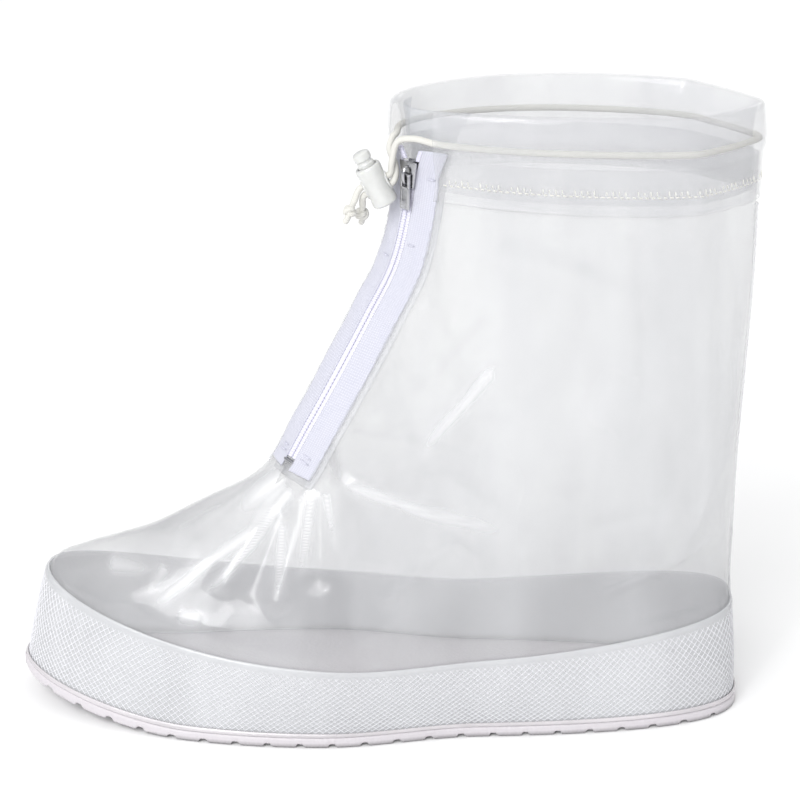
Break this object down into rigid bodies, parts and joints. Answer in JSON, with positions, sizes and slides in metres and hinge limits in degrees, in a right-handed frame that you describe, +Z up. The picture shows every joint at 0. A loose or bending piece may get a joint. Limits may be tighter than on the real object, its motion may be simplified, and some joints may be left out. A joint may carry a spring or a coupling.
{
  "type": "rain cover for a shoe",
  "caption": "Boot-high see-through rain cover worn over a shoe: hollow film upper, mesh band round the foot, grooved sole, front zip with pull, and a drawcord hem with a cord lock.",
  "frame": {"origin": "middle of the cover's length and width on the ground it stands on", "axes": "+X from toe to heel, +Y to the wearer's right, +Z up out of the top opening"},
  "size_m": [0.2898, 0.0994, 0.2487],
  "materials": {
    "clear_film": "clear glossy film",
    "mesh_film": "embossed white mesh under clear film",
    "white_sole": "satin white",
    "white_tape": "woven, white",
    "bright_metal": "polished",
    "white_cord": "braided",
    "milky_plastic": "milky, half clear"
  },
  "bodies": {
    "cover": {"upper_panel_left": "clear_film", "upper_panel_right": "clear_film", "back_seam": "clear_film", "rand": "mesh_film", "outsole": "white_sole", "hem_casing": "clear_film", "zip_gusset": "clear_film", "zip_tape_left": "white_tape", "zip_tape_right": "white_tape", "zip_chain": "white_tape", "zip_teeth_left": "white_tape", "zip_teeth_right": "white_tape", "zip_slider": "bright_metal", "zip_bottom_stop": "bright_metal", "cord_lock_barrel": "milky_plastic", "drawcord": "white_cord", "cord_knot_left": "white_cord", "cord_knot_right": "white_cord"},
    "pull": {"zip_pull": "bright_metal"},
    "lock_button": {"cord_lock_button": "milky_plastic"}
  },
  "joints": [
    {"name": "pull_hinge", "type": "hinge", "parent": "cover", "child": "pull", "pos_m": [0.00891, -0.01678, 0.22197], "axis": [-0.6804, 0.7328, 0.0112], "range_deg": [0, 165]},
    {"name": "button_press", "type": "slide", "parent": "cover", "child": "lock_button", "axis": [0.454, 0, -0.891], "range_m": [0, 0.0025], "stiffness_N_per_m": 300, "springref_m": -0.001}
  ]
}
